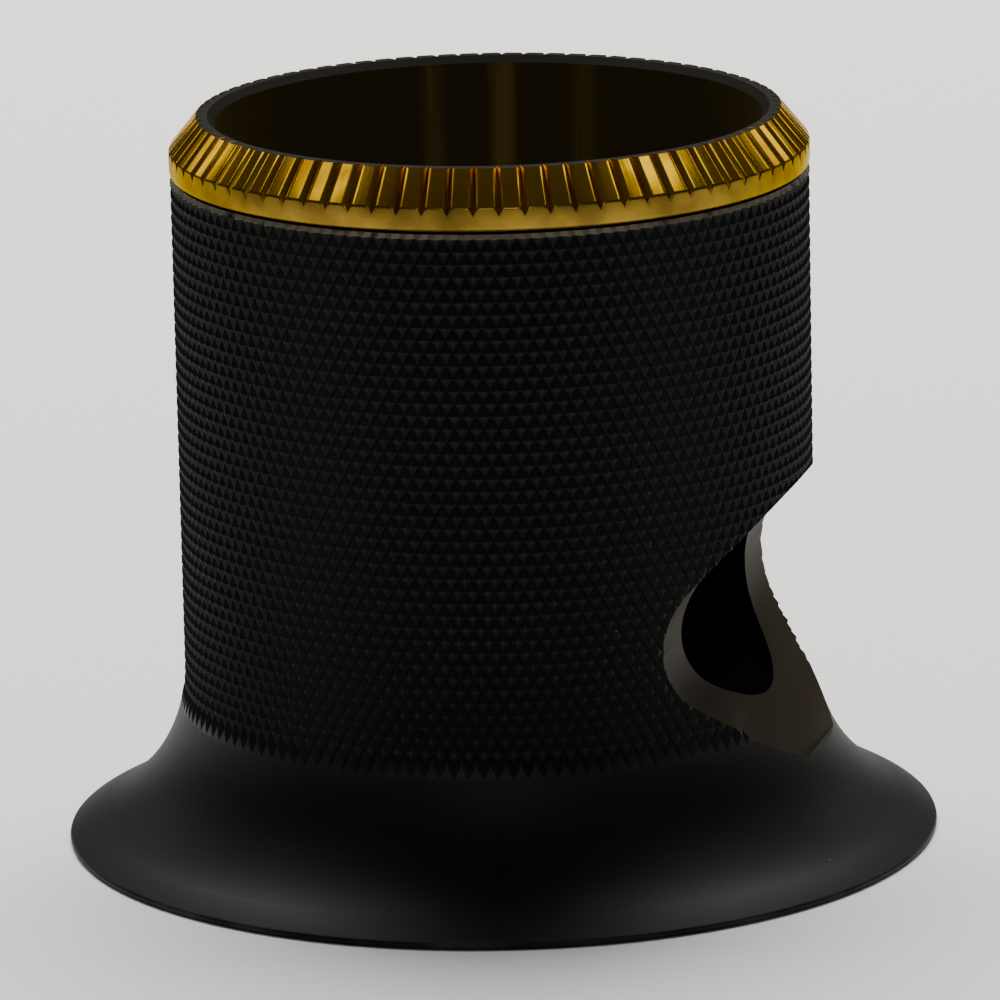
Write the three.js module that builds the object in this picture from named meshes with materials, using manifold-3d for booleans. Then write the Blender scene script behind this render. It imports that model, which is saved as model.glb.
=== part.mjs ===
// Watchmaker's eye loupe: a knurled barrel that flares into an eyecup, with a vent milled through
// its side, and one lens held at the front by a screw ring.
// Millimetres, +Z up along the optical axis. The eyecup's rim rests on z = 0, the front faces up,
// and the vent opens towards +X.

import * as THREE from 'three';
import { mergeVertices, toCreasedNormals } from 'three/addons/utils/BufferGeometryUtils.js';
import Module from 'manifold-3d';

const wasm = await Module();
wasm.setup();

// Barrel and eyecup
const barrelDiameter = 27.6;
const bodyHeight = 29.4;
const eyecupDiameter = 38;
const barrelEdgeBreak = 0.15;

// Eyecup flare: a round neck that runs out into a short cone with a thin lip
const coneRun = 1.1;
const coneSlope = THREE.MathUtils.degToRad(28.3);
const lipThickness = 0.4;
const restLandWidth = 0.6;
const innerFlareHeight = 10;

// Vent through the barrel's side, above the flare: a V notch with a round nose, lying on its side
const ventDepth = 4.2;
const ventHeight = 10.7;
const ventWidth = 12.5;
const ventNoseRadius = 3.8;
const ventFlankSlope = THREE.MathUtils.degToRad(45);

// Lens: the focal length is the loupe's working distance, three and a half inches
const lensThickness = 4;
const focalLength = 88.9;
const glassRefractiveIndex = 1.517;

// Lens seat: a shoulder in the barrel, below the thread that the lens passes through
const lensSeatDepth = 7;
const lensSeatWidth = 1.05;

// Clearance between pieces that rest on each other or slide past each other
const seatClearance = 0.1;
const lensRadialClearance = 0.15;

// Slip ring between the lens and the screw ring
const slipRingThickness = 0.5;
const slipRingEdgeBreak = 0.1;

// Thread of the screw ring in the barrel, the wall left outside it, and its running clearance
const threadWall = 0.85;
const threadPitch = 0.75;
const threadDepth = 0.4;
const threadClearance = 0.12;
const threadFlankAngle = THREE.MathUtils.degToRad(30);
const threadCrestShare = 0.125;
const threadReliefWidth = 0.5;
const threadReliefDepth = 0.05;
const threadLead = 0.3;

// Screw ring's head: crest, serrated bevel and plain band
const ringHeadHeight = 2.6;
const ringBandHeight = 1.05;
const ringSleeveWall = 0.63;
const ringBoreBevel = 0.3;
const ringCrestWidth = 0.5;
const headClearance = 0.1;

// Serrations cut down the bevel
const serrationPitch = 1;
const serrationDepth = 0.3;
const serrationWidthShare = 0.92;

// Cuts run past the faces that they open
const overrun = 1;

// Facets
const roundSegments = 60;
const ventNoseSegments = 10;
const flareSteps = 4;
const lensSteps = 3;
const creaseAngle = THREE.MathUtils.degToRad(30);
const samePoint = 1e-6;

// Values that follow from the sizes above
const barrelRadius = barrelDiameter / 2;
const eyecupRadius = eyecupDiameter / 2;
const lipRadius = lipThickness / 2;
const barrelThreadMajor = barrelRadius - threadWall;
const seatRadius = barrelThreadMajor - threadDepth;
const boreRadius = seatRadius - lensSeatWidth;
const lensRadius = seatRadius - lensRadialClearance;
const ringThreadMajor = barrelThreadMajor - threadClearance;
const ringThreadMinor = ringThreadMajor - threadDepth;
const ringBoreRadius = ringThreadMinor - ringSleeveWall;

// An equal lens of thin-lens power has this radius of curvature on each side
const lensCurvature = 2 * (glassRefractiveIndex - 1) * focalLength;
const sagitta = (radius) => lensCurvature - Math.sqrt(lensCurvature ** 2 - radius ** 2);

// The stack, from the seat in the barrel up to the ring's crest
const lensSeatHeight = bodyHeight - lensSeatDepth;
const lensBackHeight = lensSeatHeight + seatClearance - sagitta(boreRadius);
const lensFrontHeight = lensBackHeight + lensThickness;
const slipRingBottom = lensFrontHeight - sagitta(boreRadius) + seatClearance;
const slipRingTop = slipRingBottom + slipRingThickness;
const sleeveBottom = slipRingTop + seatClearance;
const tapBottom = sleeveBottom - threadReliefWidth;
const headBottom = bodyHeight + headClearance;
const crestHeight = bodyHeight + ringHeadHeight;
const bandTop = headBottom + ringBandHeight;
const crestInnerRadius = ringBoreRadius + ringBoreBevel;
const crestOuterRadius = crestInnerRadius + ringCrestWidth;

// Solids and geometries

function solidOf(geometry) {
  const bare = geometry.clone();
  bare.deleteAttribute('normal');
  bare.deleteAttribute('uv');
  const merged = mergeVertices(bare);
  return new wasm.Manifold(new wasm.Mesh({
    numProp: 3,
    vertProperties: new Float32Array(merged.attributes.position.array),
    triVerts: new Uint32Array(merged.index.array),
  }));
}

function geometryOf(solid) {
  const mesh = solid.getMesh();
  const geometry = new THREE.BufferGeometry();
  geometry.setAttribute('position', new THREE.BufferAttribute(mesh.vertProperties, 3));
  geometry.setIndex(new THREE.BufferAttribute(mesh.triVerts, 1));
  return toCreasedNormals(geometry, creaseAngle);
}

// A shape turned about +Z, from a closed outline of radius and height
function turned(outline, curveSteps) {
  const points = [];
  for (const point of outline.getPoints(curveSteps)) {
    const last = points[points.length - 1];
    if (!last || last.distanceTo(point) > samePoint) points.push(point);
  }
  return new THREE.LatheGeometry(points, roundSegments).rotateX(Math.PI / 2);
}

// A round bar along +Z
function roundBar(radius, bottom, top) {
  const bar = new THREE.CylinderGeometry(radius, radius, top - bottom, roundSegments);
  return bar.rotateX(Math.PI / 2).translate(0, 0, (top + bottom) / 2);
}

// A right-hand screw along +Z. Every screw made here is in phase with the others.
function screw(majorRadius, bottom, top) {
  const crest = threadPitch * threadCrestShare;
  const flank = threadDepth * Math.tan(threadFlankAngle);
  const minorRadius = majorRadius - threadDepth;
  const section = [
    [0, majorRadius],
    [crest, majorRadius],
    [crest + flank, minorRadius],
    [threadPitch - flank, minorRadius],
  ];
  const firstTurn = Math.floor(bottom / threadPitch) - 1;
  const turns = Math.ceil((top - bottom) / threadPitch) + 3;
  const rows = turns * section.length;
  const positions = [];
  for (let column = 0; column < roundSegments; column++) {
    const turnShare = column / roundSegments;
    const angle = turnShare * 2 * Math.PI;
    for (let row = 0; row <= rows + section.length; row++) {
      const [offset, radius] = section[row % section.length];
      const turn = firstTurn + Math.floor(row / section.length) + turnShare;
      positions.push(radius * Math.cos(angle), radius * Math.sin(angle), turn * threadPitch + offset);
    }
  }
  // After a full turn the thread's rows meet the ones a pitch further up
  const rowsPerColumn = rows + section.length + 1;
  const vertex = (column, row) => (
    column < roundSegments ? column * rowsPerColumn + row : row + section.length
  );
  const indices = [];
  for (let column = 0; column < roundSegments; column++) {
    for (let row = 0; row < rows; row++) {
      const low = vertex(column, row);
      const lowNext = vertex(column + 1, row);
      const highNext = vertex(column + 1, row + 1);
      const high = vertex(column, row + 1);
      indices.push(low, lowNext, highNext, low, highNext, high);
    }
  }
  // Each end is a fan from the axis: its rim climbs one turn and steps back down
  for (const row of [0, rows]) {
    const centre = positions.length / 3;
    positions.push(0, 0, (firstTurn + row / section.length) * threadPitch);
    const rim = [];
    for (let column = 0; column < roundSegments; column++) rim.push(vertex(column, row));
    for (let step = section.length; step > 0; step--) rim.push(vertex(0, row + step));
    for (let i = 0; i < rim.length; i++) {
      const here = rim[i];
      const next = rim[(i + 1) % rim.length];
      if (row > 0) indices.push(centre, here, next);
      else indices.push(centre, next, here);
    }
  }
  const geometry = new THREE.BufferGeometry();
  geometry.setAttribute('position', new THREE.Float32BufferAttribute(positions, 3));
  geometry.setIndex(indices);
  const length = solidOf(roundBar(majorRadius + overrun, bottom, top));
  return solidOf(geometry).intersect(length);
}

// Barrel and eyecup, turned from one bar

function eyecupOutline() {
  const lipCentre = eyecupRadius - lipRadius;
  const landInner = lipCentre - restLandWidth;
  // The cone runs from the lip up to the neck, which turns from the cone's slope to upright
  const coneFoot = new THREE.Vector2(
    lipCentre + lipRadius * Math.sin(coneSlope),
    lipRadius + lipRadius * Math.cos(coneSlope),
  );
  const coneHead = new THREE.Vector2(
    coneFoot.x - coneRun,
    coneFoot.y + coneRun * Math.tan(coneSlope),
  );
  const neckRadius = (coneHead.x - barrelRadius) / (1 - Math.sin(coneSlope));
  const neckTop = coneHead.y + neckRadius * Math.cos(coneSlope);
  // The inside leaves the bore straight down on one arc that ends at the rest land
  const innerWidth = landInner - boreRadius;
  const innerRadius = (innerWidth ** 2 + innerFlareHeight ** 2) / (2 * innerWidth);
  const innerEnd = Math.PI + Math.asin(innerFlareHeight / innerRadius);
  const outline = new THREE.Path();
  outline.moveTo(landInner, 0);
  outline.lineTo(lipCentre, 0);
  outline.lineTo(eyecupRadius, lipRadius);
  outline.lineTo(coneFoot.x, coneFoot.y);
  outline.absarc(
    barrelRadius + neckRadius, neckTop, neckRadius,
    1.5 * Math.PI - coneSlope, Math.PI, true,
  );
  outline.lineTo(barrelRadius, bodyHeight - barrelEdgeBreak);
  outline.lineTo(barrelRadius - barrelEdgeBreak, bodyHeight);
  outline.lineTo(boreRadius, bodyHeight);
  outline.absarc(boreRadius + innerRadius, innerFlareHeight, innerRadius, Math.PI, innerEnd);
  outline.closePath();
  return outline;
}

// The vent is milled straight across the barrel's side, so its cut runs along Y
function ventCutter() {
  const top = ventHeight + ventWidth / 2;
  const bottom = ventHeight - ventWidth / 2;
  const noseCentre = barrelRadius - ventDepth + ventNoseRadius;
  const noseEnd = Math.PI / 2 + ventFlankSlope;
  const flankRise = ventWidth / 2 - ventNoseRadius * Math.cos(ventFlankSlope);
  const flankStart = noseCentre - ventNoseRadius * Math.sin(ventFlankSlope);
  const flankEnd = flankStart + flankRise / Math.tan(ventFlankSlope);
  const notch = new THREE.Shape();
  notch.moveTo(eyecupRadius, top);
  notch.lineTo(flankEnd, top);
  notch.absarc(noseCentre, ventHeight, ventNoseRadius, noseEnd, 2 * Math.PI - noseEnd);
  notch.lineTo(flankEnd, bottom);
  notch.lineTo(eyecupRadius, bottom);
  notch.closePath();
  const cutter = new THREE.ExtrudeGeometry(notch, {
    depth: eyecupDiameter, bevelEnabled: false, curveSegments: ventNoseSegments,
  });
  return cutter.translate(0, 0, -eyecupRadius).rotateX(Math.PI / 2);
}

// What is bored out for the lens: its seat, the relief groove behind the thread and the
// chamfered mouth that leads the ring in
function lensPocketOutline() {
  const reliefRadius = barrelThreadMajor + threadReliefDepth;
  const outline = new THREE.Path();
  outline.moveTo(0, lensSeatHeight);
  outline.lineTo(seatRadius, lensSeatHeight);
  outline.lineTo(seatRadius, tapBottom - threadReliefWidth);
  outline.lineTo(reliefRadius, tapBottom - threadReliefWidth);
  outline.lineTo(reliefRadius, tapBottom);
  outline.lineTo(seatRadius, tapBottom);
  outline.lineTo(seatRadius, bodyHeight - threadLead - threadDepth);
  outline.lineTo(barrelThreadMajor + overrun, bodyHeight - threadLead + overrun);
  outline.lineTo(0, bodyHeight - threadLead + overrun);
  return outline;
}

function eyecupBodyGeometry() {
  const body = solidOf(turned(eyecupOutline(), flareSteps))
    .subtract(solidOf(turned(lensPocketOutline(), 1)))
    .subtract(screw(barrelThreadMajor, tapBottom - threadReliefWidth / 2, bodyHeight + overrun))
    .subtract(solidOf(ventCutter()));
  return geometryOf(body);
}

// Lens, ground equal on both sides, with a cylindrical edge

function lensGeometry() {
  const outline = new THREE.Path();
  const opening = Math.asin(lensRadius / lensCurvature);
  const backCentre = lensBackHeight + lensCurvature;
  const frontCentre = lensFrontHeight - lensCurvature;
  outline.absarc(0, backCentre, lensCurvature, -Math.PI / 2, -Math.PI / 2 + opening);
  outline.absarc(0, frontCentre, lensCurvature, Math.PI / 2 - opening, Math.PI / 2);
  return turned(outline, lensSteps);
}

// Slip ring: flat, with its four edges broken

function slipRingGeometry() {
  const edge = slipRingEdgeBreak;
  const outline = new THREE.Path();
  outline.moveTo(boreRadius + edge, slipRingBottom);
  outline.lineTo(lensRadius - edge, slipRingBottom);
  outline.lineTo(lensRadius, slipRingBottom + edge);
  outline.lineTo(lensRadius, slipRingTop - edge);
  outline.lineTo(lensRadius - edge, slipRingTop);
  outline.lineTo(boreRadius + edge, slipRingTop);
  outline.lineTo(boreRadius, slipRingTop - edge);
  outline.lineTo(boreRadius, slipRingBottom + edge);
  outline.closePath();
  return turned(outline, 1);
}

// Screw ring: a threaded sleeve under a head with a serrated bevel

function ringOutline() {
  const core = ringThreadMinor - threadReliefDepth;
  const outline = new THREE.Path();
  outline.moveTo(ringBoreRadius, sleeveBottom);
  outline.lineTo(core, sleeveBottom);
  outline.lineTo(core, headBottom);
  outline.lineTo(barrelRadius, headBottom);
  outline.lineTo(barrelRadius, bandTop);
  outline.lineTo(crestOuterRadius, crestHeight);
  outline.lineTo(crestInnerRadius, crestHeight);
  outline.lineTo(ringBoreRadius, crestHeight - ringBoreBevel);
  outline.closePath();
  return outline;
}

// The sleeve's thread, with a lead chamfer below and a relief neck under the head
function sleeveThread() {
  const threadTop = headBottom - threadReliefWidth;
  const middle = (ringBoreRadius + ringThreadMinor) / 2;
  const envelope = new THREE.Path();
  envelope.moveTo(middle, sleeveBottom);
  envelope.lineTo(ringThreadMajor - threadLead, sleeveBottom);
  envelope.lineTo(ringThreadMajor + overrun, sleeveBottom + threadLead + overrun);
  envelope.lineTo(ringThreadMajor + overrun, threadTop);
  envelope.lineTo(middle, threadTop);
  envelope.closePath();
  return screw(ringThreadMajor, sleeveBottom, threadTop).intersect(solidOf(turned(envelope, 1)));
}

// One V-shaped serration, laid along the bevel at an angle about the axis
function serrationCutter(angle) {
  const run = barrelRadius - crestOuterRadius;
  const rise = crestHeight - bandTop;
  const slant = Math.hypot(run, rise);
  const bevelTilt = Math.atan2(run, rise);
  const halfWidth = (serrationPitch * serrationWidthShare) / 2;
  const reach = (serrationDepth + overrun) / serrationDepth;
  const section = new THREE.Shape();
  section.moveTo(-serrationDepth, 0);
  section.lineTo(overrun, -halfWidth * reach);
  section.lineTo(overrun, halfWidth * reach);
  section.closePath();
  const cutter = new THREE.ExtrudeGeometry(section, {
    depth: slant + 2 * overrun,
    bevelEnabled: false,
  });
  cutter.translate(0, 0, -overrun);
  cutter.rotateY(-bevelTilt);
  cutter.translate(barrelRadius, 0, bandTop);
  return cutter.rotateZ(angle);
}

function screwRingGeometry() {
  const count = Math.round((Math.PI * barrelDiameter) / serrationPitch);
  let ring = solidOf(turned(ringOutline(), 1)).add(sleeveThread());
  for (let i = 0; i < count; i++) {
    const angle = ((i + 0.5) / count) * 2 * Math.PI;
    ring = ring.subtract(solidOf(serrationCutter(angle)));
  }
  return geometryOf(ring);
}

// The assembly

function piece(name, geometry, look) {
  const mesh = new THREE.Mesh(geometry, new THREE.MeshStandardMaterial(look));
  mesh.name = name;
  return mesh;
}

const blackAnodised = { color: 0x0b0b0c, roughness: 0.55, metalness: 0.4 };
const clearGlass = { color: 0xe6efec, roughness: 0.03, metalness: 0, transparent: true, opacity: 0.3 };
const turnedBrass = { color: 0xc9a22e, roughness: 0.28, metalness: 1 };
const springSteel = { color: 0x8d8f92, roughness: 0.35, metalness: 1 };

const loupe = new THREE.Group();
loupe.add(piece('eyecup_body', eyecupBodyGeometry(), blackAnodised));
loupe.add(piece('lens', lensGeometry(), clearGlass));
loupe.add(piece('lens_slip_ring', slipRingGeometry(), springSteel));
loupe.add(piece('lens_screw_ring', screwRingGeometry(), turnedBrass));

export default loupe;
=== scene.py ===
# Watchmaker's eye loupe: a knurled black barrel flared into an eyecup, with a milled vent, and a
# lens held at the front by a serrated brass ring.
# Metres, +Z up along the optical axis, the eyecup's rim on the floor, the vent towards +X.

import math

import bpy
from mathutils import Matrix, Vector


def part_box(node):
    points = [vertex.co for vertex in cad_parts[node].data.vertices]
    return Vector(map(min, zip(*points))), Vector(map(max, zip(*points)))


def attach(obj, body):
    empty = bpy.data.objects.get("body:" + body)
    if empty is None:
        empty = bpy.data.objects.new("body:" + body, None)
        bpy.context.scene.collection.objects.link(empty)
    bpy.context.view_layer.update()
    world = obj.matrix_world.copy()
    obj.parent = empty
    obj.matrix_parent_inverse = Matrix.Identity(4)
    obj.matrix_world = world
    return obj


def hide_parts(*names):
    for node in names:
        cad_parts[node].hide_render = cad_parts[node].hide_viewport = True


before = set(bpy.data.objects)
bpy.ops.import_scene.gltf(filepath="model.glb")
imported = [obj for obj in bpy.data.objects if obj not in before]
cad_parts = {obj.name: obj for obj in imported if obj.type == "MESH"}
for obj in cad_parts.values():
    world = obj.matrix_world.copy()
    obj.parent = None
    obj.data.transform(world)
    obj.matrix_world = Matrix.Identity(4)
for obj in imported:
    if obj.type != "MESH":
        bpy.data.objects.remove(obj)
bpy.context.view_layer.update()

MM = 0.001
MICRON = 0.001 * MM
FULL_TURN = 2 * math.pi

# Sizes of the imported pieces
body_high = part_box("eyecup_body")[1]
ring_low, ring_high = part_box("lens_screw_ring")
lens_low, lens_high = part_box("lens")
slip_low, slip_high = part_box("lens_slip_ring")
EYECUP_RADIUS = body_high.x
BODY_HEIGHT = body_high.z
BARREL_RADIUS = ring_high.x
CREST_HEIGHT = ring_high.z
SLEEVE_BOTTOM = ring_low.z
LENS_RADIUS = lens_high.x
LENS_BACK = lens_low.z
LENS_FRONT = lens_high.z

# Eyecup flare: a round neck, a short cone and a thin lip with a flat land under it
CONE_RUN = 1.1 * MM
CONE_SLOPE = math.radians(28.3)
LIP_RADIUS = 0.2 * MM
REST_LAND_WIDTH = 0.6 * MM
INNER_FLARE_HEIGHT = 10 * MM
NECK_STEPS = 14
LIP_STEPS = 6
INNER_FLARE_STEPS = 20

# Barrel: top edge, bore, and the pocket for the lens
TOP_EDGE_BREAK = 0.2 * MM
BORE_RADIUS = 11.5 * MM
SEAT_RADIUS = 12.55 * MM
SEAT_HEIGHT = BODY_HEIGHT - 7 * MM

# Diamond knurl, rolled with wheels of 30 degree helix
KNURL_PITCH = 0.54 * MM
KNURL_HELIX = math.radians(30)
KNURL_DEPTH = 0.2 * MM
KNURL_END = 6.1 * MM
KNURL_TIP_PERCENT = 14

# Vent, milled straight across the side: a V notch with a round nose
VENT_DEPTH = 4.2 * MM
VENT_HEIGHT = 10.7 * MM
VENT_HALF_WIDTH = 6.25 * MM
VENT_NOSE_RADIUS = 3.8 * MM
VENT_SLOPE = math.radians(45)
VENT_NOSE_STEPS = 40

# Thread of the ring in the barrel
THREAD_PITCH = 0.75 * MM
THREAD_DEPTH = 0.4 * MM
THREAD_CLEARANCE = 0.12 * MM
THREAD_FLANK = math.radians(30)
THREAD_CREST_SHARE = 0.125
THREAD_SPARE_TURNS = 2
THREAD_LEAD = 0.3 * MM
THREAD_START = 0.14 * MM
THREAD_RELIEF = 0.5 * MM
RELIEF_DEPTH = 0.05 * MM
THREAD_MAJOR = SEAT_RADIUS + THREAD_DEPTH
THREAD_COLUMNS = 120

# Screw ring
HEAD_BOTTOM = BODY_HEIGHT + 0.1 * MM
BAND_HEIGHT = 1.05 * MM
BAND_EDGE_BREAK = 0.25 * MM
BAND_EDGE_STEPS = 6
CREST_WIDTH = 0.5 * MM
BORE_BEVEL = 0.3 * MM
RING_BORE_RADIUS = 11.8 * MM
SERRATION_PITCH = 1.08 * MM
GROOVE_REACH = 0.42 * MM
GROOVE_FOOT = 0.3 * MM
GROOVE_END_BREAK = 0.07 * MM
GROOVE_END_STEPS = 3
RING_THREAD_MAJOR = THREAD_MAJOR - THREAD_CLEARANCE
RING_CORE_RADIUS = RING_THREAD_MAJOR - THREAD_DEPTH - RELIEF_DEPTH

# Lens and slip ring
LENS_CURVATURE = 91.9 * MM
LENS_EDGE_BEVEL = 0.15 * MM
LENS_STEPS = 16
SLIP_EDGE_BREAK = 0.1 * MM
SLIP_EDGE_STEPS = 3
ROUND_COLUMNS = 160

# How far a cutter runs past a piece, and how near counts as the same place
OVERRUN = 1 * MM
SAME_PLACE = 0.5 * MICRON
ON_PLANE = 0.05 * MICRON
ON_CUT = 2 * MICRON
SEAM_GAP = 4 * MICRON


# Modelling

def deselect_all():
    bpy.ops.object.select_all(action="DESELECT")


def radius_of(place):
    return math.hypot(place.x, place.y)


def arc(centre, radius, start, end, steps):
    """Points of radius and height along an arc, its two ends among them."""
    angles = [start + (end - start) * i / steps for i in range(steps + 1)]
    return [
        (centre[0] + radius * math.cos(a), centre[1] + radius * math.sin(a)) for a in angles
    ]


def trace(outline, name):
    """Draws an outline in the XZ plane, as one vertex extruded from point to point. The new
    object is left in edit mode."""
    deselect_all()
    bpy.context.tool_settings.mesh_select_mode = (True, False, False)
    bpy.ops.mesh.primitive_plane_add(size=MM)
    drawn = bpy.context.object
    drawn.name = drawn.data.name = name
    bpy.ops.object.mode_set(mode="EDIT")
    bpy.ops.mesh.merge(type="CENTER")
    corners = [Vector((radius, 0, height)) for radius, height in outline]
    bpy.ops.transform.translate(value=corners[0])
    for here, there in zip(corners, corners[1:]):
        bpy.ops.mesh.extrude_region_move(TRANSFORM_OT_translate={"value": there - here})
    return drawn


def spin(outline, columns, name):
    """A solid turned about +Z from a closed outline, or from one that ends on the axis."""
    turned = trace(outline, name)
    bpy.ops.mesh.select_all(action="SELECT")
    bpy.ops.mesh.spin(steps=columns, angle=FULL_TURN, center=(0, 0, 0), axis=(0, 0, 1))
    bpy.ops.mesh.select_all(action="SELECT")
    bpy.ops.mesh.remove_doubles(threshold=SEAM_GAP)
    bpy.ops.mesh.normals_make_consistent(inside=False)
    bpy.ops.object.mode_set(mode="OBJECT")
    return turned


def edit(piece, kind, test):
    """Enters edit mode with the vertices, edges or faces selected whose middle passes the test."""
    bpy.ops.object.mode_set(mode="OBJECT")
    mesh = piece.data
    kinds = {"VERT": mesh.vertices, "EDGE": mesh.edges, "FACE": mesh.polygons}
    middles = {
        "VERT": lambda vertex: vertex.co,
        "EDGE": lambda edge: sum((mesh.vertices[end].co for end in edge.vertices), Vector()) / 2,
        "FACE": lambda face: face.center,
    }
    bpy.context.tool_settings.mesh_select_mode = [kind == each for each in kinds]
    for each, elements in kinds.items():
        chosen = [each == kind and test(middles[each](element)) for element in elements]
        elements.foreach_set("select", chosen)
    bpy.ops.object.mode_set(mode="EDIT")


def combine(piece, other, operation):
    """Cuts or joins a piece with another solid, which is used up. Corners in one place merge."""
    modifier = piece.modifiers.new(operation.lower(), "BOOLEAN")
    modifier.operation = operation
    modifier.solver = "EXACT"
    modifier.object = other
    bpy.context.view_layer.objects.active = piece
    bpy.ops.object.modifier_apply(modifier=modifier.name)
    bpy.data.objects.remove(other)
    deselect_all()
    bpy.ops.object.mode_set(mode="EDIT")
    bpy.ops.mesh.select_all(action="SELECT")
    bpy.ops.mesh.remove_doubles(threshold=SAME_PLACE)
    bpy.ops.object.mode_set(mode="OBJECT")


def screw(major_radius, depth, bottom, top, name):
    """A right-hand screw along +Z. Every screw made here is in phase with the others."""
    crest = THREAD_PITCH * THREAD_CREST_SHARE
    flank = depth * math.tan(THREAD_FLANK)
    minor_radius = major_radius - depth
    start = (math.floor(bottom / THREAD_PITCH) - THREAD_SPARE_TURNS) * THREAD_PITCH
    section = [
        (major_radius, start),
        (major_radius, start + crest),
        (minor_radius, start + crest + flank),
        (minor_radius, start + THREAD_PITCH - flank),
        (major_radius, start + THREAD_PITCH),
    ]
    bar = trace(section, name)
    bpy.ops.object.mode_set(mode="OBJECT")
    modifier = bar.modifiers.new("screw", "SCREW")
    modifier.screw_offset = THREAD_PITCH
    modifier.steps = modifier.render_steps = THREAD_COLUMNS
    modifier.iterations = math.ceil((top - start) / THREAD_PITCH) + 1
    bpy.ops.object.modifier_apply(modifier=modifier.name)
    bpy.ops.object.mode_set(mode="EDIT")
    bpy.ops.mesh.select_all(action="SELECT")
    bpy.ops.mesh.remove_doubles(threshold=SAME_PLACE)
    level_cut = {"plane_no": (0, 0, 1), "use_fill": True, "threshold": ON_PLANE}
    bpy.ops.mesh.bisect(plane_co=(0, 0, bottom), clear_inner=True, **level_cut)
    bpy.ops.mesh.select_all(action="SELECT")
    bpy.ops.mesh.bisect(plane_co=(0, 0, top), clear_outer=True, **level_cut)
    bpy.ops.mesh.select_all(action="SELECT")
    bpy.ops.mesh.normals_make_consistent(inside=False)
    bpy.ops.object.mode_set(mode="OBJECT")
    return bar


def finish_piece(piece, body, node, crease_degrees):
    """Shades a piece, checks it in at the origin and lets it stand for its CAD node."""
    bpy.ops.object.mode_set(mode="OBJECT")
    deselect_all()
    piece.select_set(True)
    bpy.context.view_layer.objects.active = piece
    bpy.ops.object.transform_apply(location=True, rotation=True, scale=True)
    bpy.ops.object.shade_smooth_by_angle(angle=math.radians(crease_degrees))
    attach(piece, body)
    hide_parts(node)
    return piece


def paint(piece, material, test=None):
    """Gives a material to the faces whose middle passes the test, or to the whole piece."""
    piece.data.materials.append(material)
    index = len(piece.data.materials) - 1
    for face in piece.data.polygons:
        if test is None or test(face.center):
            face.material_index = index


# Barrel and eyecup

knurl_half_height = KNURL_PITCH / math.sin(KNURL_HELIX) / 2
knurl_top = BODY_HEIGHT - TOP_EDGE_BREAK
knurl_rows = round((knurl_top - KNURL_END) / knurl_half_height)
knurl_bottom = knurl_top - knurl_rows * knurl_half_height
knurl_columns = 2 * round(FULL_TURN * BARREL_RADIUS * math.cos(KNURL_HELIX) / KNURL_PITCH)
tap_bottom = SLEEVE_BOTTOM - THREAD_RELIEF


def neck():
    """Centre and radius of the neck's arc, from the lip's nose up the cone to the barrel."""
    lip_centre = EYECUP_RADIUS - LIP_RADIUS
    foot_radius = lip_centre + LIP_RADIUS * math.sin(CONE_SLOPE)
    foot_height = LIP_RADIUS + LIP_RADIUS * math.cos(CONE_SLOPE)
    head_radius = foot_radius - CONE_RUN
    head_height = foot_height + CONE_RUN * math.tan(CONE_SLOPE)
    radius = (head_radius - BARREL_RADIUS) / (1 - math.sin(CONE_SLOPE))
    return (BARREL_RADIUS + radius, head_height + radius * math.cos(CONE_SLOPE)), radius


def outside_radius(height):
    """Radius of the barrel's outside at a height, on the neck's arc where it is reached."""
    (centre_radius, centre_height), radius = neck()
    if height >= centre_height:
        return BARREL_RADIUS
    return centre_radius - math.sqrt(radius ** 2 - (centre_height - height) ** 2)


def body_outline():
    (neck_x, neck_z), neck_radius = neck()
    lip_x = EYECUP_RADIUS - LIP_RADIUS
    land_inner = lip_x - REST_LAND_WIDTH
    inner_width = land_inner - BORE_RADIUS
    inner_radius = (inner_width ** 2 + INNER_FLARE_HEIGHT ** 2) / (2 * inner_width)
    inner_end = math.pi + math.asin(INNER_FLARE_HEIGHT / inner_radius)
    relief_radius = THREAD_MAJOR + RELIEF_DEPTH
    heights = [knurl_top - i * knurl_half_height for i in range(knurl_rows + 1)]
    neck_start = math.pi + math.asin((neck_z - knurl_bottom) / neck_radius)
    neck_end = 1.5 * math.pi - CONE_SLOPE
    return [
        *[(outside_radius(z), z) for z in heights],
        *arc((neck_x, neck_z), neck_radius, neck_start, neck_end, NECK_STEPS)[1:],
        *arc((lip_x, LIP_RADIUS), LIP_RADIUS, math.pi / 2 - CONE_SLOPE, -math.pi / 2, LIP_STEPS),
        *arc(
            (BORE_RADIUS + inner_radius, INNER_FLARE_HEIGHT),
            inner_radius, inner_end, math.pi, INNER_FLARE_STEPS,
        ),
        (BORE_RADIUS, SEAT_HEIGHT),
        (SEAT_RADIUS, SEAT_HEIGHT),
        (SEAT_RADIUS, tap_bottom - THREAD_RELIEF),
        (relief_radius, tap_bottom - THREAD_RELIEF),
        (relief_radius, tap_bottom),
        (SEAT_RADIUS, tap_bottom),
        (SEAT_RADIUS, BODY_HEIGHT - THREAD_LEAD - THREAD_DEPTH),
        (THREAD_MAJOR + THREAD_LEAD, BODY_HEIGHT),
        (BARREL_RADIUS - TOP_EDGE_BREAK, BODY_HEIGHT),
        (BARREL_RADIUS, knurl_top),
    ]


def on_knurl(place):
    outside = radius_of(place) > BARREL_RADIUS - KNURL_DEPTH - TOP_EDGE_BREAK / 2
    return outside and knurl_bottom - SAME_PLACE < place.z < knurl_top + SAME_PLACE


def knurl_place(place):
    """Column and row of a vertex in the knurl's grid."""
    column = round(math.atan2(place.y, place.x) / FULL_TURN * knurl_columns)
    return column, round((knurl_top - place.z) / knurl_half_height)


def is_valley(place):
    column, row = knurl_place(place)
    return on_knurl(place) and row < knurl_rows and (column + row) % 2 == 1


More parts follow.
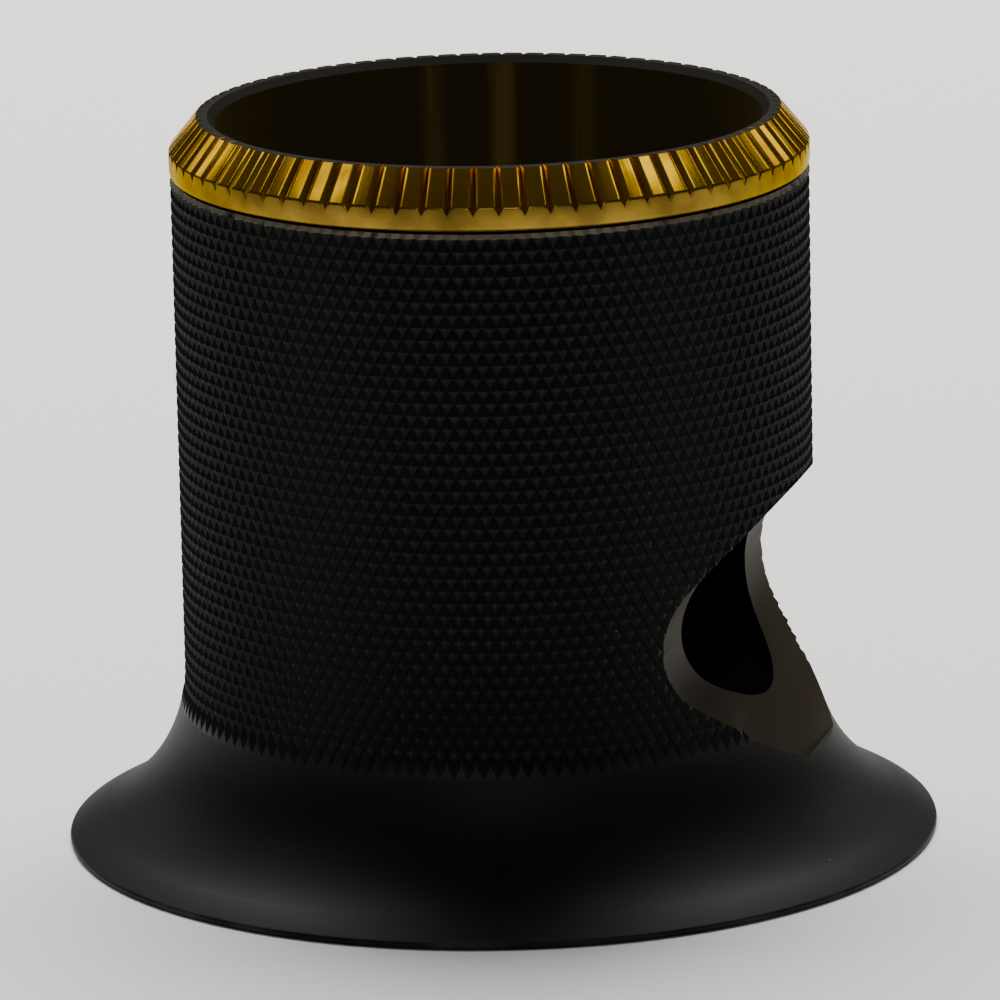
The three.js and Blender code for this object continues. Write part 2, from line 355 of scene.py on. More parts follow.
def is_tip(place):
    column, row = knurl_place(place)
    return on_knurl(place) and 0 < row < knurl_rows and (column + row) % 2 == 0


def roll_knurl(body):
    """Rolls the diamonds: valleys go in, and each diamond's tip is left with a small flat."""
    sunk = (BARREL_RADIUS - KNURL_DEPTH) / BARREL_RADIUS
    edit(body, "VERT", is_valley)
    bpy.ops.transform.resize(value=(sunk, sunk, 1), center_override=(0, 0, 0))
    edit(body, "FACE", on_knurl)
    bpy.ops.mesh.quads_convert_to_tris(quad_method="SHORTEST_DIAGONAL")
    edit(body, "VERT", is_tip)
    bpy.ops.mesh.bevel(
        offset_type="PERCENT", offset_pct=KNURL_TIP_PERCENT, affect="VERTICES", segments=1
    )
    bpy.ops.object.mode_set(mode="OBJECT")


def vent_reach(height):
    """How near the axis the vent comes at a height: on its nose, and then along a flank."""
    rise = abs(height - VENT_HEIGHT)
    nose_centre = BARREL_RADIUS - VENT_DEPTH + VENT_NOSE_RADIUS
    flank_start = VENT_NOSE_RADIUS * math.cos(VENT_SLOPE)
    if rise <= flank_start:
        return nose_centre - math.sqrt(VENT_NOSE_RADIUS ** 2 - rise ** 2)
    nose_reach = nose_centre - VENT_NOSE_RADIUS * math.sin(VENT_SLOPE)
    return nose_reach + (rise - flank_start) / math.tan(VENT_SLOPE)


def vent_cutter():
    top, bottom = VENT_HEIGHT + VENT_HALF_WIDTH, VENT_HEIGHT - VENT_HALF_WIDTH
    nose = (BARREL_RADIUS - VENT_DEPTH + VENT_NOSE_RADIUS, VENT_HEIGHT)
    nose_end = math.pi / 2 + VENT_SLOPE
    cutter = trace([
        (EYECUP_RADIUS, top),
        (vent_reach(top), top),
        *arc(nose, VENT_NOSE_RADIUS, nose_end, FULL_TURN - nose_end, VENT_NOSE_STEPS),
        (vent_reach(bottom), bottom),
        (EYECUP_RADIUS, bottom),
    ], "vent_cutter")
    bpy.ops.mesh.select_all(action="SELECT")
    bpy.ops.mesh.edge_face_add()
    bpy.ops.transform.translate(value=(0, -EYECUP_RADIUS, 0))
    bpy.ops.mesh.extrude_region_move(TRANSFORM_OT_translate={"value": (0, 2 * EYECUP_RADIUS, 0)})
    bpy.ops.mesh.select_all(action="SELECT")
    bpy.ops.mesh.normals_make_consistent(inside=False)
    bpy.ops.object.mode_set(mode="OBJECT")
    return cutter


def in_vent(place):
    on_cut = abs(place.x - vent_reach(place.z)) < ON_CUT
    return on_cut and abs(place.z - VENT_HEIGHT) < VENT_HALF_WIDTH - SAME_PLACE


def make_body():
    body = spin(body_outline(), knurl_columns, "barrel_and_eyecup")
    roll_knurl(body)
    combine(body, vent_cutter(), "DIFFERENCE")
    tap_depth = THREAD_DEPTH + RELIEF_DEPTH
    tap_start = tap_bottom - THREAD_RELIEF / 2
    tap = screw(THREAD_MAJOR, tap_depth, tap_start, BODY_HEIGHT + OVERRUN, "tap")
    combine(body, tap, "DIFFERENCE")
    paint(body, anodised_turned())
    paint(body, anodised_knurl(), on_knurl)
    # The vent's faces take a bronze colour that is painted light
    paint(body, anodised_milled(), in_vent)
    paint(body, rubbed_edge(), lambda place: (
        knurl_top < place.z < BODY_HEIGHT and radius_of(place) > BARREL_RADIUS - TOP_EDGE_BREAK
    ))
    return finish_piece(body, "eyecup", "eyecup_body", crease_degrees=24)


# Screw ring

# Share of the groove's depth at equal steps round the ring, from the middle of a ridge
GROOVE_SHARES = (0, 0, 0, 0, 0, 0.1, 0.5, 1, 0.5, 0.1, 0, 0, 0, 0)
serrations = round(FULL_TURN * BARREL_RADIUS / SERRATION_PITCH)
ring_columns = serrations * len(GROOVE_SHARES)
band_top = HEAD_BOTTOM + BAND_HEIGHT
crest_inner = RING_BORE_RADIUS + BORE_BEVEL
crest_outer = crest_inner + CREST_WIDTH


def ring_outline():
    edge = BAND_EDGE_BREAK
    return [
        (RING_BORE_RADIUS, SLEEVE_BOTTOM),
        (RING_CORE_RADIUS, SLEEVE_BOTTOM),
        (RING_CORE_RADIUS, HEAD_BOTTOM),
        *arc((BARREL_RADIUS - edge, HEAD_BOTTOM + edge), edge, -math.pi / 2, 0, BAND_EDGE_STEPS),
        (BARREL_RADIUS, band_top),
        (crest_outer, CREST_HEIGHT),
        (crest_inner, CREST_HEIGHT),
        (RING_BORE_RADIUS, CREST_HEIGHT - BORE_BEVEL),
        (RING_BORE_RADIUS, SLEEVE_BOTTOM),
    ]


def groove_share(place):
    """Share of the groove's depth that a place on the ring takes."""
    column = round(math.atan2(place.y, place.x) / FULL_TURN * ring_columns)
    return GROOVE_SHARES[column % len(GROOVE_SHARES)]


def cut_serrations(ring):
    """Cuts grooves down the bevel, deepest at the crest. They run out on the band, rounded."""
    for share in sorted(set(GROOVE_SHARES) - {0}):
        edit(ring, "VERT", lambda place: (
            abs(place.z - CREST_HEIGHT) < SAME_PLACE
            and abs(radius_of(place) - crest_outer) < SAME_PLACE
            and groove_share(place) == share
        ))
        cut = 1 - share * GROOVE_REACH / crest_outer
        bpy.ops.transform.resize(value=(cut, cut, 1), center_override=(0, 0, 0))
        edit(ring, "VERT", lambda place: (
            abs(place.z - band_top) < SAME_PLACE and groove_share(place) == share
        ))
        bpy.ops.transform.translate(value=(0, 0, -share * GROOVE_FOOT))
    edit(ring, "EDGE", lambda place: (
        band_top - GROOVE_FOOT - SAME_PLACE < place.z < band_top + SAME_PLACE
        and abs(radius_of(place) - BARREL_RADIUS) < SAME_PLACE
    ))
    bpy.ops.mesh.bevel(offset=GROOVE_END_BREAK, affect="EDGES", segments=GROOVE_END_STEPS)
    bpy.ops.object.mode_set(mode="OBJECT")


def sleeve_thread():
    """The ring's own thread, with a lead chamfer below and a relief neck under the head."""
    bottom, top = SLEEVE_BOTTOM + THREAD_START, HEAD_BOTTOM - THREAD_RELIEF
    ends = bottom - OVERRUN, top + OVERRUN
    thread = screw(RING_THREAD_MAJOR, THREAD_DEPTH, *ends, "sleeve_thread")
    inside = (RING_BORE_RADIUS + RING_CORE_RADIUS) / 2
    envelope = [
        (inside, bottom),
        (RING_THREAD_MAJOR - THREAD_LEAD, bottom),
        (RING_THREAD_MAJOR + OVERRUN, bottom + THREAD_LEAD + OVERRUN),
        (RING_THREAD_MAJOR + OVERRUN, top),
        (inside, top),
        (inside, bottom),
    ]
    combine(thread, spin(envelope, THREAD_COLUMNS, "thread_envelope"), "INTERSECT")
    return thread


def make_ring():
    ring = spin(ring_outline(), ring_columns, "screw_ring")
    cut_serrations(ring)
    combine(ring, sleeve_thread(), "UNION")
    paint(ring, turned_brass())
    paint(ring, serrated_brass(), lambda place: (
        radius_of(place) > crest_inner and band_top < place.z < CREST_HEIGHT - SAME_PLACE
    ))
    paint(ring, blackened_brass("blackened_brass_rim", "#16130a", ()), lambda place: (
        place.z > CREST_HEIGHT - BORE_BEVEL and radius_of(place) < crest_inner
        or place.z > CREST_HEIGHT - SAME_PLACE
    ))
    # Painted light: the bore's base colour is lighter than the rim's, for light on the bore's wall,
    # with painted reflections laid over it
    bore = blackened_brass("blackened_brass_bore_painted_light", "#44391b", BORE_PAINTED_REFLECTIONS)
    paint(ring, bore, lambda place: (
        radius_of(place) < RING_BORE_RADIUS + SAME_PLACE and place.z > SLEEVE_BOTTOM + SAME_PLACE
    ))
    return finish_piece(ring, "screw_ring", "lens_screw_ring", crease_degrees=30)


# Lens and slip ring

def sagitta(radius):
    return LENS_CURVATURE - math.sqrt(LENS_CURVATURE ** 2 - radius ** 2)


def make_lens():
    polished = LENS_RADIUS - LENS_EDGE_BEVEL
    opening = math.asin(polished / LENS_CURVATURE)
    drop = sagitta(polished) + LENS_EDGE_BEVEL
    back = (0, LENS_BACK + LENS_CURVATURE)
    front = (0, LENS_FRONT - LENS_CURVATURE)
    outline = [
        *arc(back, LENS_CURVATURE, -math.pi / 2, -math.pi / 2 + opening, LENS_STEPS),
        (LENS_RADIUS, LENS_BACK + drop),
        (LENS_RADIUS, LENS_FRONT - drop),
        *arc(front, LENS_CURVATURE, math.pi / 2 - opening, math.pi / 2, LENS_STEPS),
    ]
    lens = spin(outline, ROUND_COLUMNS, "lens_glass")
    paint(lens, optical_glass())
    paint(lens, ground_glass(), lambda place: radius_of(place) > polished)
    return finish_piece(lens, "lens_pack", "lens", crease_degrees=20)


def make_slip_ring():
    edge = SLIP_EDGE_BREAK
    inner, outer = BORE_RADIUS, slip_high.x
    bottom, top = slip_low.z, slip_high.z
    centres = [
        (outer - edge, bottom + edge),
        (outer - edge, top - edge),
        (inner + edge, top - edge),
        (inner + edge, bottom + edge),
    ]
    outline = []
    for corner, centre in enumerate(centres):
        start = (corner - 1) * math.pi / 2
        outline += arc(centre, edge, start, start + math.pi / 2, SLIP_EDGE_STEPS)
    outline.append(outline[0])
    ring = spin(outline, ROUND_COLUMNS, "slip_ring")
    paint(ring, spring_steel())
    return finish_piece(ring, "lens_pack", "lens_slip_ring", crease_degrees=30)


# Materials

# Sockets of the colour mixer, which has several of each name
MIX_SHARE, MIX_FIRST, MIX_SECOND, MIX_COLOUR = 0, 6, 7, 2

# How far a lathe mark drifts on the way round, in spacings, and the solid share of a speck
MARK_DRIFT = 3
SPECK_CORE = 0.5

# Index of refraction of crown glass
GLASS_INDEX = 1.517


def linear(hex_colour):
    """A colour written as sRGB hex, as the linear values that a shader takes, by sRGB's curve."""
    def channel(value):
        share = value / 255
        return share / 12.92 if share <= 0.04045 else ((share + 0.055) / 1.055) ** 2.4
    return tuple(channel(int(hex_colour[i:i + 2], 16)) for i in (1, 3, 5)) + (1,)


def node(tree, kind, inputs, output=0, **settings):
    """Adds a node and returns an output of it. An input given as a socket is linked to it."""
    made = tree.nodes.new(kind)
    for name, value in settings.items():
        setattr(made, name, value)
    for name, value in inputs.items():
        if isinstance(value, bpy.types.NodeSocket):
            tree.links.new(value, made.inputs[name])
        else:
            made.inputs[name].default_value = value
    return made.outputs[output] if made.outputs else None


def new_material(name):
    """An empty material: its node tree, and the places that its patterns are laid on."""
    material = bpy.data.materials.new(name)
    material.use_nodes = True
    tree = material.node_tree
    tree.nodes.clear()
    return material, tree, node(tree, "ShaderNodeTexCoord", {}, "Object")


def off_axis(tree, place):
    """A place's offset from the optical axis, which is level."""
    return node(tree, "ShaderNodeVectorMath", {0: place, 1: (1, 1, 0)}, operation="MULTIPLY")


def lathe_marks(tree, place, spacing):
    """Rings about the optical axis, as a lathe tool leaves them, which change slowly on the way
    round."""
    offset = off_axis(tree, place)
    radius = node(tree, "ShaderNodeVectorMath", {0: offset}, "Value", operation="LENGTH")
    unit = node(tree, "ShaderNodeVectorMath", {0: offset}, operation="NORMALIZE")
    side = node(tree, "ShaderNodeSeparateXYZ", {0: unit}, "X")
    slow = node(tree, "ShaderNodeMath", {0: side, 1: MARK_DRIFT * spacing}, operation="MULTIPLY")
    height = node(tree, "ShaderNodeSeparateXYZ", {0: place}, "Z")
    rings = node(tree, "ShaderNodeCombineXYZ", {"X": radius, "Y": slow, "Z": height})
    return node(tree, "ShaderNodeTexNoise", {"Vector": rings, "Scale": 1 / spacing})


def axial_marks(tree, place, spacing, length):
    """Marks that run along the optical axis, at a spacing measured on the barrel's outside."""
    unit = node(tree, "ShaderNodeVectorMath", {0: off_axis(tree, place)}, operation="NORMALIZE")
    circle = node(tree, "ShaderNodeVectorMath", {0: unit, "Scale": BARREL_RADIUS}, operation="SCALE")
    slow = (0, 0, spacing / length)
    rise = node(tree, "ShaderNodeVectorMath", {0: place, 1: slow}, operation="MULTIPLY")
    both = node(tree, "ShaderNodeVectorMath", {0: circle, 1: rise}, operation="ADD")
    return node(tree, "ShaderNodeTexNoise", {"Vector": both, "Scale": 1 / spacing})


def specks(tree, place, spacing, size, share):
    """Small dots at random places: 1 in a dot and 0 elsewhere."""
    cell = {"Vector": place, "Scale": 1 / spacing}
    colour = node(tree, "ShaderNodeTexVoronoi", cell, "Color")
    reach = node(tree, "ShaderNodeTexVoronoi", cell, "Distance")
    luck = node(tree, "ShaderNodeSeparateColor", {0: colour}, "Red")
    chosen = node(tree, "ShaderNodeMath", {0: luck, 1: share}, operation="LESS_THAN")
    far = size / spacing
    dot = node(tree, "ShaderNodeMapRange", {
        "Value": reach, "From Min": far, "From Max": SPECK_CORE * far,
    })
    return node(tree, "ShaderNodeMath", {0: dot, 1: chosen}, operation="MULTIPLY")


def worn_at(tree, place, start, end, patch_size):
    """Wear that grows between two distances from the axis, and comes and goes in patches."""
    offset = off_axis(tree, place)
    radius = node(tree, "ShaderNodeVectorMath", {0: offset}, "Value", operation="LENGTH")
    edge = node(tree, "ShaderNodeMapRange", {"Value": radius, "From Min": start, "From Max": end})
    patches = node(tree, "ShaderNodeTexNoise", {"Vector": place, "Scale": 1 / patch_size})
    wear_and_reflection = node(tree, "ShaderNodeMapRange", {"Value": patches, "From Min": 0.35, "From Max": 0.7})
    return node(tree, "ShaderNodeMath", {0: edge, 1: wear_and_reflection}, operation="MULTIPLY")


def anodised_turned():
    """Aluminium, turned, etched satin and anodised black. It looks like dull black silk, with
    faint rings from the tool, grey where the lip's edge rubs and bare in a few small nicks."""
    material, tree, place = new_material("black_anodised_turned_aluminium")
    grain = node(tree, "ShaderNodeTexNoise", {"Vector": place, "Scale": 1 / (0.09 * MM)})
    rings = lathe_marks(tree, place, spacing=0.14 * MM)
    lip_edge = {"start": EYECUP_RADIUS - 0.12 * MM, "end": EYECUP_RADIUS}
    worn = worn_at(tree, place, **lip_edge, patch_size=2.5 * MM)
    nicks = specks(tree, place, spacing=1.6 * MM, size=0.045 * MM, share=0.2)
    black = node(tree, "ShaderNodeMix", {
        MIX_SHARE: rings, MIX_FIRST: linear("#070707"), MIX_SECOND: linear("#0d0c0c"),
    }, MIX_COLOUR, data_type="RGBA")
    wear_and_reflection = node(tree, "ShaderNodeMix", {
        MIX_SHARE: worn, MIX_FIRST: black, MIX_SECOND: linear("#32302e"),
    }, MIX_COLOUR, data_type="RGBA")
    colour = node(tree, "ShaderNodeMix", {
        MIX_SHARE: nicks, MIX_FIRST: wear_and_reflection, MIX_SECOND: linear("#8a8780"),
    }, MIX_COLOUR, data_type="RGBA")
    turned = node(tree, "ShaderNodeBump", {"Height": rings, "Distance": 2.5 * MICRON})
    shader = node(tree, "ShaderNodeBsdfPrincipled", {
        "Base Color": colour,
        "Roughness": node(tree, "ShaderNodeMapRange", {"Value": grain, "To Min": 0.42, "To Max": 0.58}),
        "Specular IOR Level": 0.14,
        "Normal": node(tree, "ShaderNodeBump", {
            "Height": grain, "Distance": 1.5 * MICRON, "Normal": turned,
        }),
    })
    node(tree, "ShaderNodeOutputMaterial", {"Surface": shader})
    return material


def anodised_knurl():
    """Aluminium, knurled and anodised black. The diamonds' tips shine a little where hands have
    worn them, and a few are nicked to bare metal."""
    material, tree, place = new_material("black_anodised_knurled_aluminium")
    grain = node(tree, "ShaderNodeTexNoise", {"Vector": place, "Scale": 1 / (0.08 * MM)})
    tips = {"start": BARREL_RADIUS - 0.06 * MM, "end": BARREL_RADIUS - 0.02 * MM}
    worn = worn_at(tree, place, **tips, patch_size=4 * MM)
    nicks = specks(tree, place, spacing=1.3 * MM, size=0.04 * MM, share=0.15)
    black = node(tree, "ShaderNodeMix", {
        MIX_SHARE: grain, MIX_FIRST: linear("#060606"), MIX_SECOND: linear("#0a0a0a"),
    }, MIX_COLOUR, data_type="RGBA")
    wear_and_reflection = node(tree, "ShaderNodeMix", {
        MIX_SHARE: worn, MIX_FIRST: black, MIX_SECOND: linear("#1d1c1b"),
    }, MIX_COLOUR, data_type="RGBA")
    colour = node(tree, "ShaderNodeMix", {
        MIX_SHARE: nicks, MIX_FIRST: wear_and_reflection, MIX_SECOND: linear("#8a8780"),
    }, MIX_COLOUR, data_type="RGBA")
    shader = node(tree, "ShaderNodeBsdfPrincipled", {
        "Base Color": colour,
        "Roughness": node(tree, "ShaderNodeMapRange", {"Value": worn, "To Min": 0.52, "To Max": 0.36}),
        "Specular IOR Level": 0.15,
        "Normal": node(tree, "ShaderNodeBump", {"Height": grain, "Distance": 1.5 * MICRON}),
    })
    node(tree, "ShaderNodeOutputMaterial", {"Surface": shader})
    return material


def anodised_milled():
    """Aluminium, milled straight across and anodised black, in a bronze colour that is painted light:
    lighter than the other black faces, for the light that the milled face catches.
    It's dull, with lines that the cutter's teeth left round its axis."""
    material, tree, place = new_material("black_anodised_milled_aluminium")
    drawn_out = (0.1, 1, 0.1)
    across = node(tree, "ShaderNodeVectorMath", {0: place, 1: drawn_out}, operation="MULTIPLY")
    lines = node(tree, "ShaderNodeTexNoise", {"Vector": across, "Scale": 1 / (0.14 * MM)})
    grain = node(tree, "ShaderNodeTexNoise", {"Vector": place, "Scale": 1 / (0.08 * MM)})
    # Painted light: this bronze is lighter than the rest of the black anodising, for the light that the
    # milled face catches
    colour = node(tree, "ShaderNodeMix", {
        MIX_SHARE: lines, MIX_FIRST: linear("#181206"), MIX_SECOND: linear("#2a210b"),
    }, MIX_COLOUR, data_type="RGBA")
    milled = node(tree, "ShaderNodeBump", {"Height": lines, "Distance": 4 * MICRON})
    shader = node(tree, "ShaderNodeBsdfPrincipled", {
        "Base Color": colour,
        "Roughness": node(tree, "ShaderNodeMapRange", {"Value": lines, "To Min": 0.48, "To Max": 0.6}),
        "Specular IOR Level": 0.06,
        "Normal": node(tree, "ShaderNodeBump", {
            "Height": grain, "Distance": MICRON, "Normal": milled,
        }),
    })
    node(tree, "ShaderNodeOutputMaterial", {"Surface": shader})
    return material


def rubbed_edge():
    """Aluminium at a sharp edge, where the black anodising has rubbed off in handling. It's a
    thin pale line with black left in places."""
    material, tree, place = new_material("rubbed_aluminium_edge")
    patches = node(tree, "ShaderNodeTexNoise", {"Vector": place, "Scale": 1 / (0.9 * MM)})
    black = node(tree, "ShaderNodeMapRange", {"Value": patches, "From Min": 0.55, "From Max": 0.75})
    colour = node(tree, "ShaderNodeMix", {
        MIX_SHARE: black, MIX_FIRST: linear("#918b78"), MIX_SECOND: linear("#1a1918"),
    }, MIX_COLOUR, data_type="RGBA")
    shader = node(tree, "ShaderNodeBsdfPrincipled", {
        "Base Color": colour,
        "Metallic": 1,
        "Roughness": node(tree, "ShaderNodeMapRange", {
            "Value": patches, "To Min": 0.45, "To Max": 0.65,
        }),
        "Normal": node(tree, "ShaderNodeBump", {"Height": patches, "Distance": 4 * MICRON}),
    })
    node(tree, "ShaderNodeOutputMaterial", {"Surface": shader})
    return material


def turned_brass():
    """Brass, turned bright and gone dull with handling. It mirrors softly in olive gold, with
    fine rings from the tool and browner patches of tarnish."""
    material, tree, place = new_material("tarnished_turned_brass")
    rings = lathe_marks(tree, place, spacing=0.1 * MM)
    patches = node(tree, "ShaderNodeTexNoise", {"Vector": place, "Scale": 1 / (1.8 * MM)})
    tarnish = node(tree, "ShaderNodeMapRange", {"Value": patches, "From Min": 0.35, "From Max": 0.7})
    colour = node(tree, "ShaderNodeMix", {
        MIX_SHARE: tarnish, MIX_FIRST: linear("#94782c"), MIX_SECOND: linear("#6a5420"),
    }, MIX_COLOUR, data_type="RGBA")
    shader = node(tree, "ShaderNodeBsdfPrincipled", {
        "Base Color": colour,
        "Metallic": 1,
        "Specular Tint": linear("#e8cf7a"),
        "Roughness": node(tree, "ShaderNodeMapRange", {
            "Value": tarnish, "To Min": 0.24, "To Max": 0.34,
        }),
        "Normal": node(tree, "ShaderNodeBump", {"Height": rings, "Distance": 2 * MICRON}),
    })
    node(tree, "ShaderNodeOutputMaterial", {"Surface": shader})
    return material


def serrated_brass():
    """Brass, turned bright and then cut into serrations. It mirrors in deep yellow, with drag
    marks down the teeth and a little brown tarnish."""
    material, tree, place = new_material("bright_serrated_brass")
    drags = axial_marks(tree, place, spacing=0.11 * MM, length=1.6 * MM)
    patches = node(tree, "ShaderNodeTexNoise", {"Vector": place, "Scale": 1 / (1.8 * MM)})
    tarnish = node(tree, "ShaderNodeMapRange", {"Value": patches, "From Min": 0.4, "From Max": 0.75})
    colour = node(tree, "ShaderNodeMix", {
        MIX_SHARE: tarnish, MIX_FIRST: linear("#dcac0e"), MIX_SECOND: linear("#a87808"),
    }, MIX_COLOUR, data_type="RGBA")
    shader = node(tree, "ShaderNodeBsdfPrincipled", {
        "Base Color": colour,
        "Metallic": 1,
        "Specular Tint": linear("#f0d070"),
        "Roughness": node(tree, "ShaderNodeMapRange", {
            "Value": tarnish, "To Min": 0.17, "To Max": 0.25,
        }),
        "Normal": node(tree, "ShaderNodeBump", {"Height": drags, "Distance": 3 * MICRON}),
    })
    node(tree, "ShaderNodeOutputMaterial", {"Surface": shader})
    return material


# Painted reflections in the ring's bore, as lighter bands along the axis: place round the axis, half
# width, and how strong they are
BORE_PAINTED_REFLECTIONS = (
    (math.radians(116.3), math.radians(3), 0.5),
    (math.radians(101.3), math.radians(3.5), 1),
    (math.radians(83.3), math.radians(4), 0.4),
    (math.radians(270), math.radians(5), 0.5),
)


def blackened_brass(name, black, painted_reflections):
    """Brass, blackened against glare with a matt oxide that shows a little of the metal's brown.
    Lighter bands along the axis, mixed towards a yellow colour, are painted reflections of light."""
    material, tree, place = new_material(name)
    fine = axial_marks(tree, place, spacing=0.25 * MM, length=9 * MM)
    side = node(tree, "ShaderNodeSeparateXYZ", {0: place}, "X")
    depth = node(tree, "ShaderNodeSeparateXYZ", {0: place}, "Y")
    turn = node(tree, "ShaderNodeMath", {0: depth, 1: side}, operation="ARCTAN2")
    # Share of painted reflection at each place round the bore, the largest that any band gives
    reflection_share = 0
    for middle, half_width, strength in painted_reflections:
        heading = math.remainder(middle, FULL_TURN)
        away = node(tree, "ShaderNodeMath", {0: turn, 1: heading}, operation="SUBTRACT")
        gap = node(tree, "ShaderNodeMath", {0: away}, operation="ABSOLUTE")
        reflection_band = node(tree, "ShaderNodeMapRange", {
            "Value": gap, "From Min": half_width, "From Max": 0, "To Max": strength,
        })
        reflection_share = node(tree, "ShaderNodeMath", {0: reflection_share, 1: reflection_band}, operation="MAXIMUM")
    wear_and_reflection = node(tree, "ShaderNodeMath", {0: reflection_share, 1: fine}, operation="MULTIPLY")
    # The colour goes towards yellow where a painted reflection falls
    colour = node(tree, "ShaderNodeMix", {
        MIX_SHARE: wear_and_reflection, MIX_FIRST: linear(black), MIX_SECOND: linear("#a08a46"),
    }, MIX_COLOUR, data_type="RGBA")
    shader = node(tree, "ShaderNodeBsdfPrincipled", {
        "Base Color": colour,
        "Specular IOR Level": 0.05,
        "Roughness": node(tree, "ShaderNodeMapRange", {"Value": fine, "To Min": 0.4, "To Max": 0.6}),
        "Normal": node(tree, "ShaderNodeBump", {"Height": fine, "Distance": 2 * MICRON}),
    })
    node(tree, "ShaderNodeOutputMaterial", {"Surface": shader})
    return material


def optical_glass():
    """Crown glass, ground and polished. It's clear, with hardly seen smears from wiping."""
    material, tree, place = new_material("polished_crown_glass")
    smears = node(tree, "ShaderNodeTexNoise", {"Vector": place, "Scale": 1 / (3 * MM)})
    shader = node(tree, "ShaderNodeBsdfPrincipled", {
        "Base Color": linear("#fbfffd"),
        "Transmission Weight": 1,
        "IOR": GLASS_INDEX,
        "Roughness": node(tree, "ShaderNodeMapRange", {
            "Value": smears, "From Min": 0.45, "From Max": 0.8, "To Max": 0.05,
        }),
    })
    node(tree, "ShaderNodeOutputMaterial", {"Surface": shader})
    return material


def ground_glass():
    """Crown glass, ground to size at its edge and left matt, so it looks white and frosted."""
    material, tree, place = new_material("ground_crown_glass_edge")
    grit = node(tree, "ShaderNodeTexNoise", {"Vector": place, "Scale": 1 / (0.06 * MM)})
    colour = node(tree, "ShaderNodeMix", {
        MIX_SHARE: grit, MIX_FIRST: linear("#dfe6e2"), MIX_SECOND: linear("#f4f8f6"),
    }, MIX_COLOUR, data_type="RGBA")
    shader = node(tree, "ShaderNodeBsdfPrincipled", {
        "Base Color": colour,
        "Transmission Weight": 0.6,
        "IOR": GLASS_INDEX,
        "Roughness": node(tree, "ShaderNodeMapRange", {"Value": grit, "To Min": 0.4, "To Max": 0.8}),
        "Normal": node(tree, "ShaderNodeBump", {"Height": grit, "Distance": 4 * MICRON}),
    })
    node(tree, "ShaderNodeOutputMaterial", {"Surface": shader})
    return material


def spring_steel():
    """Spring steel strip, satin and oiled, with straw-brown rings where the screw ring turns."""
    material, tree, place = new_material("satin_spring_steel")
    rings = lathe_marks(tree, place, spacing=0.1 * MM)
    rub = node(tree, "ShaderNodeMapRange", {"Value": rings, "From Min": 0.5, "From Max": 0.75})
    colour = node(tree, "ShaderNodeMix", {
        MIX_SHARE: rub, MIX_FIRST: linear("#85878a"), MIX_SECOND: linear("#a3957c"),
    }, MIX_COLOUR, data_type="RGBA")
    shader = node(tree, "ShaderNodeBsdfPrincipled", {
        "Base Color": colour,
        "Metallic": 1,
        "Roughness": node(tree, "ShaderNodeMapRange", {"Value": rings, "To Min": 0.26, "To Max": 0.46}),
        "Normal": node(tree, "ShaderNodeBump", {"Height": rings, "Distance": 1.5 * MICRON}),
    })
    node(tree, "ShaderNodeOutputMaterial", {"Surface": shader})
    return material


def matt_paper():
    """Uncoated paper: pale and matt, with a faint fibre grain."""
    material, tree, place = new_material("pale_matt_paper")
    fibres = node(tree, "ShaderNodeTexNoise", {"Vector": place, "Scale": 1 / (0.6 * MM), "Detail": 4})
    colour = node(tree, "ShaderNodeMix", {
        MIX_SHARE: fibres, MIX_FIRST: linear("#efede8"), MIX_SECOND: linear("#f6f4f0"),
    }, MIX_COLOUR, data_type="RGBA")
    shader = node(tree, "ShaderNodeBsdfPrincipled", {
        "Base Color": colour,
        "Roughness": 0.9,
        "Specular IOR Level": 0.2,
        "Normal": node(tree, "ShaderNodeBump", {"Height": fibres, "Distance": 12 * MICRON}),
    })
    node(tree, "ShaderNodeOutputMaterial", {"Surface": shader})
    return material


# Studio

# The camera's place and aim. Its lens is in millimetres, as Blender takes it
CAMERA_TURN = math.radians(14.3)
CAMERA_HEIGHT = math.radians(14.02)
CAMERA_ROLL = math.radians(1.24)
CAMERA_DISTANCE = 365.4 * MM
CAMERA_LENS = 302.5
CAMERA_SHIFT = 0.0033
AIM_HEIGHT = 14.65 * MM

FLOOR_SIZE = 3
WORLD_STRENGTH = 0.05


def from_camera(turn, rise, distance):
    """A place around the loupe. Turn 0 is the camera's own side, and positive turns go right."""
    around = turn + CAMERA_TURN
    return Vector((
        distance * math.cos(rise) * math.sin(around),
        -distance * math.cos(rise) * math.cos(around),
        distance * math.sin(rise) + AIM_HEIGHT,
    ))


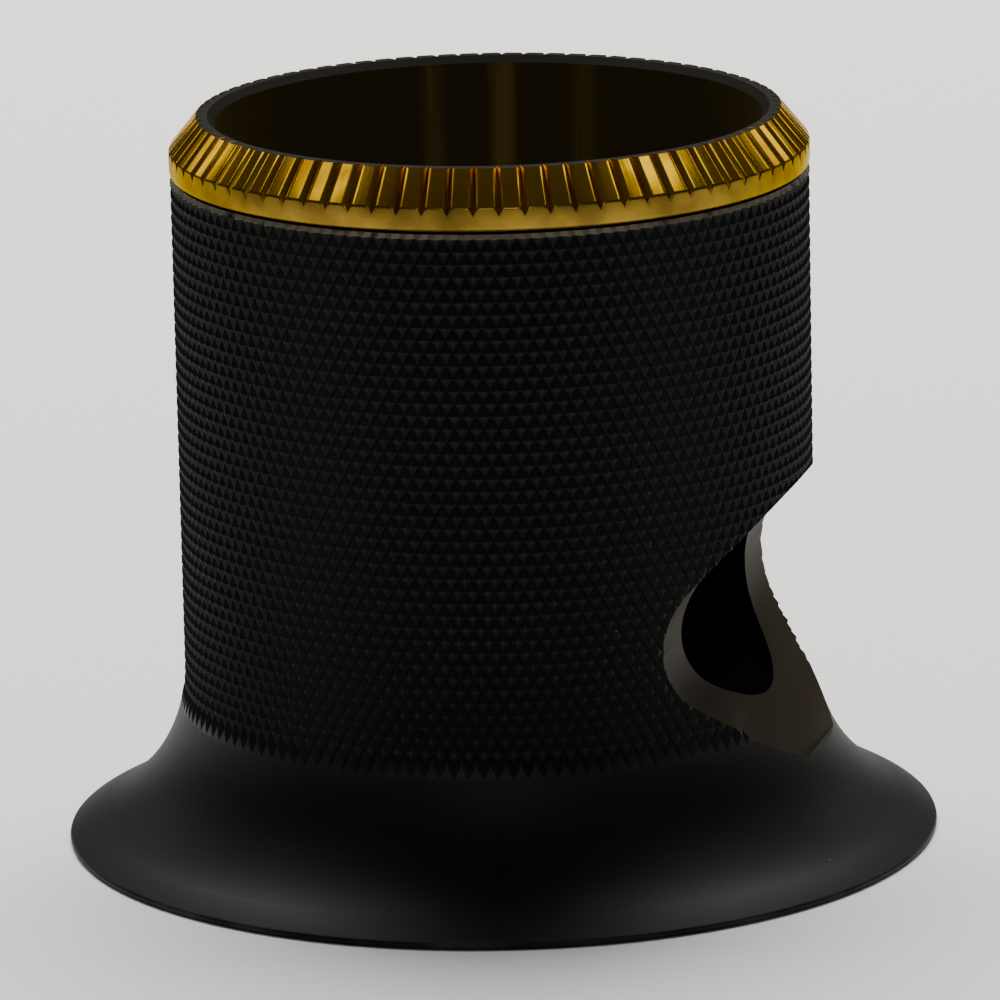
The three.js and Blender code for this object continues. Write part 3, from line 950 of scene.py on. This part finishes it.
def facing(place):
    """The rotation that turns a camera or a light at a place to the loupe's middle."""
    return (Vector((0, 0, AIM_HEIGHT)) - place).to_track_quat("-Z", "Y").to_euler()


def make_camera():
    deselect_all()
    place = from_camera(0, CAMERA_HEIGHT, CAMERA_DISTANCE)
    bpy.ops.object.camera_add(location=place)
    camera = bpy.context.object
    camera.rotation_euler = facing(place)
    camera.rotation_euler.rotate_axis("Z", -CAMERA_ROLL)
    camera.data.lens = CAMERA_LENS
    camera.data.shift_x = CAMERA_SHIFT
    camera.data.clip_start = 10 * MM
    camera.data.clip_end = 10
    bpy.context.scene.camera = camera


def softbox(name, turn_degrees, rise_degrees, distance, width, height, watts):
    """A rectangle of light that faces the loupe."""
    deselect_all()
    place = from_camera(math.radians(turn_degrees), math.radians(rise_degrees), distance)
    bpy.ops.object.light_add(type="AREA", location=place)
    light = bpy.context.object
    light.name = name
    light.rotation_euler = facing(place)
    light.data.shape = "RECTANGLE"
    light.data.size = width
    light.data.size_y = height
    light.data.energy = watts


def make_studio():
    deselect_all()
    bpy.ops.mesh.primitive_plane_add(size=FLOOR_SIZE)
    floor = bpy.context.object
    floor.name = "floor"
    floor.data.materials.append(matt_paper())
    for side, name in ((-1, "left"), (1, "right")):
        softbox(
            name + "_softbox", turn_degrees=side * 88, rise_degrees=50, distance=0.6,
            width=0.2, height=0.12, watts=0.16,
        )
        softbox(
            name + "_rim_softbox", turn_degrees=side * 136, rise_degrees=21, distance=0.6,
            width=0.15, height=0.12, watts=0.12,
        )
    softbox(
        "front_softbox", turn_degrees=0, rise_degrees=21, distance=0.7,
        width=0.3, height=0.12, watts=0.4,
    )
    softbox(
        "back_softbox", turn_degrees=180, rise_degrees=62, distance=0.55,
        width=0.5, height=0.4, watts=6.5,
    )
    world = bpy.data.worlds.new("studio")
    world.use_nodes = True
    light = world.node_tree.nodes["Background"].inputs
    light["Color"].default_value = linear("#f2f1ee")
    light["Strength"].default_value = WORLD_STRENGTH
    bpy.context.scene.world = world


make_body()
make_lens()
make_slip_ring()
make_ring()
make_studio()
make_camera()
